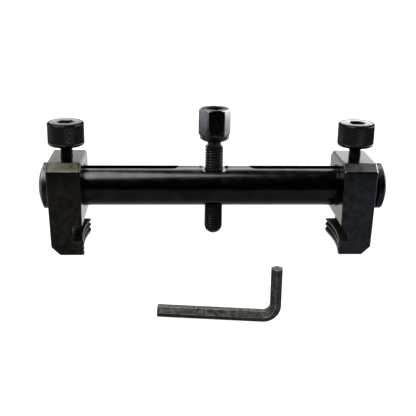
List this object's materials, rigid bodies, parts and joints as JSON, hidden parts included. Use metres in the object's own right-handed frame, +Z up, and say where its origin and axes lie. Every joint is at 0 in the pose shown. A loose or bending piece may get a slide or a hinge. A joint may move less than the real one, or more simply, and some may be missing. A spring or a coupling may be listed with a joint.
{
  "type": "ribbed belt pulley puller",
  "caption": "Two-jaw pulley puller: round bar, sliding ribbed jaws with knurled clamp screws, hex-headed forcing screw, and an L-shaped hex key.",
  "frame": {"origin": "on the forcing screw's axis, at the level of the jaws' feet", "axes": "+Z up along the forcing screw towards its head, +X along the bar towards the right jaw, -Y is the front"},
  "size_m": [0.2266, 0.1472, 0.0913],
  "materials": {
    "jaw_black": "satin black-oxide finish, faint mottling, light wear on the edges",
    "bar_black": "polished black-oxide round bar",
    "screw_black": "black-oxide screws, knurled heads",
    "key_grey": "graphite-grey phosphated tool steel",
    "nose_steel": "hardened point, slightly brighter than the screw",
    "pad_brass": "turned brass"
  },
  "bodies": {
    "frame": {"beam": "bar_black", "left_stop_ring": "screw_black", "right_stop_ring": "screw_black", "left_ring_screw": "screw_black", "right_ring_screw": "screw_black"},
    "left_jaw": {"left_jaw": "jaw_black"},
    "left_clamp_pad": {"left_clamp_pad": "pad_brass"},
    "left_clamp_screw": {"left_clamp_screw": "screw_black"},
    "right_jaw": {"right_jaw": "jaw_black"},
    "right_clamp_pad": {"right_clamp_pad": "pad_brass"},
    "right_clamp_screw": {"right_clamp_screw": "screw_black"},
    "forcing_nose": {"forcing_nose": "nose_steel"},
    "forcing_screw": {"forcing_screw": "screw_black"},
    "hex_key": {"hex_key": "key_grey"}
  },
  "joints": [
    {"name": "left_jaw_slide", "type": "slide", "parent": "frame", "child": "left_jaw", "axis": [1, 0, 0], "range_m": [0, 0.066]},
    {"name": "right_jaw_slide", "type": "slide", "parent": "frame", "child": "right_jaw", "axis": [-1, 0, 0], "range_m": [-0.003, 0.0629]},
    {"name": "left_clamp_travel", "type": "slide", "parent": "left_jaw", "child": "left_clamp_pad", "axis": [0, 0, 1], "range_m": [-0.0004, 0.004]},
    {"name": "left_clamp_turn", "type": "hinge", "parent": "left_clamp_pad", "child": "left_clamp_screw", "pos_m": [-0.09525, 0, 0.07], "axis": [0, 0, 1], "range_deg": [-116, 1153]},
    {"name": "right_clamp_travel", "type": "slide", "parent": "right_jaw", "child": "right_clamp_pad", "axis": [0, 0, 1], "range_m": [-0.0004, 0.004]},
    {"name": "right_clamp_turn", "type": "hinge", "parent": "right_clamp_pad", "child": "right_clamp_screw", "pos_m": [0.09215, 0, 0.07], "axis": [0, 0, 1], "range_deg": [-116, 1153]},
    {"name": "forcing_travel", "type": "slide", "parent": "frame", "child": "forcing_nose", "axis": [0, 0, 1], "range_m": [-0.018, 0.02]},
    {"name": "forcing_turn", "type": "hinge", "parent": "forcing_nose", "child": "forcing_screw", "pos_m": [0, 0, 0.07], "axis": [0, 0, 1], "range_deg": [-3704, 4116]},
    {"name": "key_lift", "type": "slide", "parent": "frame", "child": "hex_key", "axis": [0, 0, 1], "range_m": [0, 0.06]}
  ],
  "couplings": [
    {"joint": "left_clamp_turn", "follows": "left_clamp_travel", "rad_per_m": 5026.5},
    {"joint": "right_clamp_turn", "follows": "right_clamp_travel", "rad_per_m": 5026.5},
    {"joint": "forcing_turn", "follows": "forcing_travel", "rad_per_m": 3590.4}
  ]
}
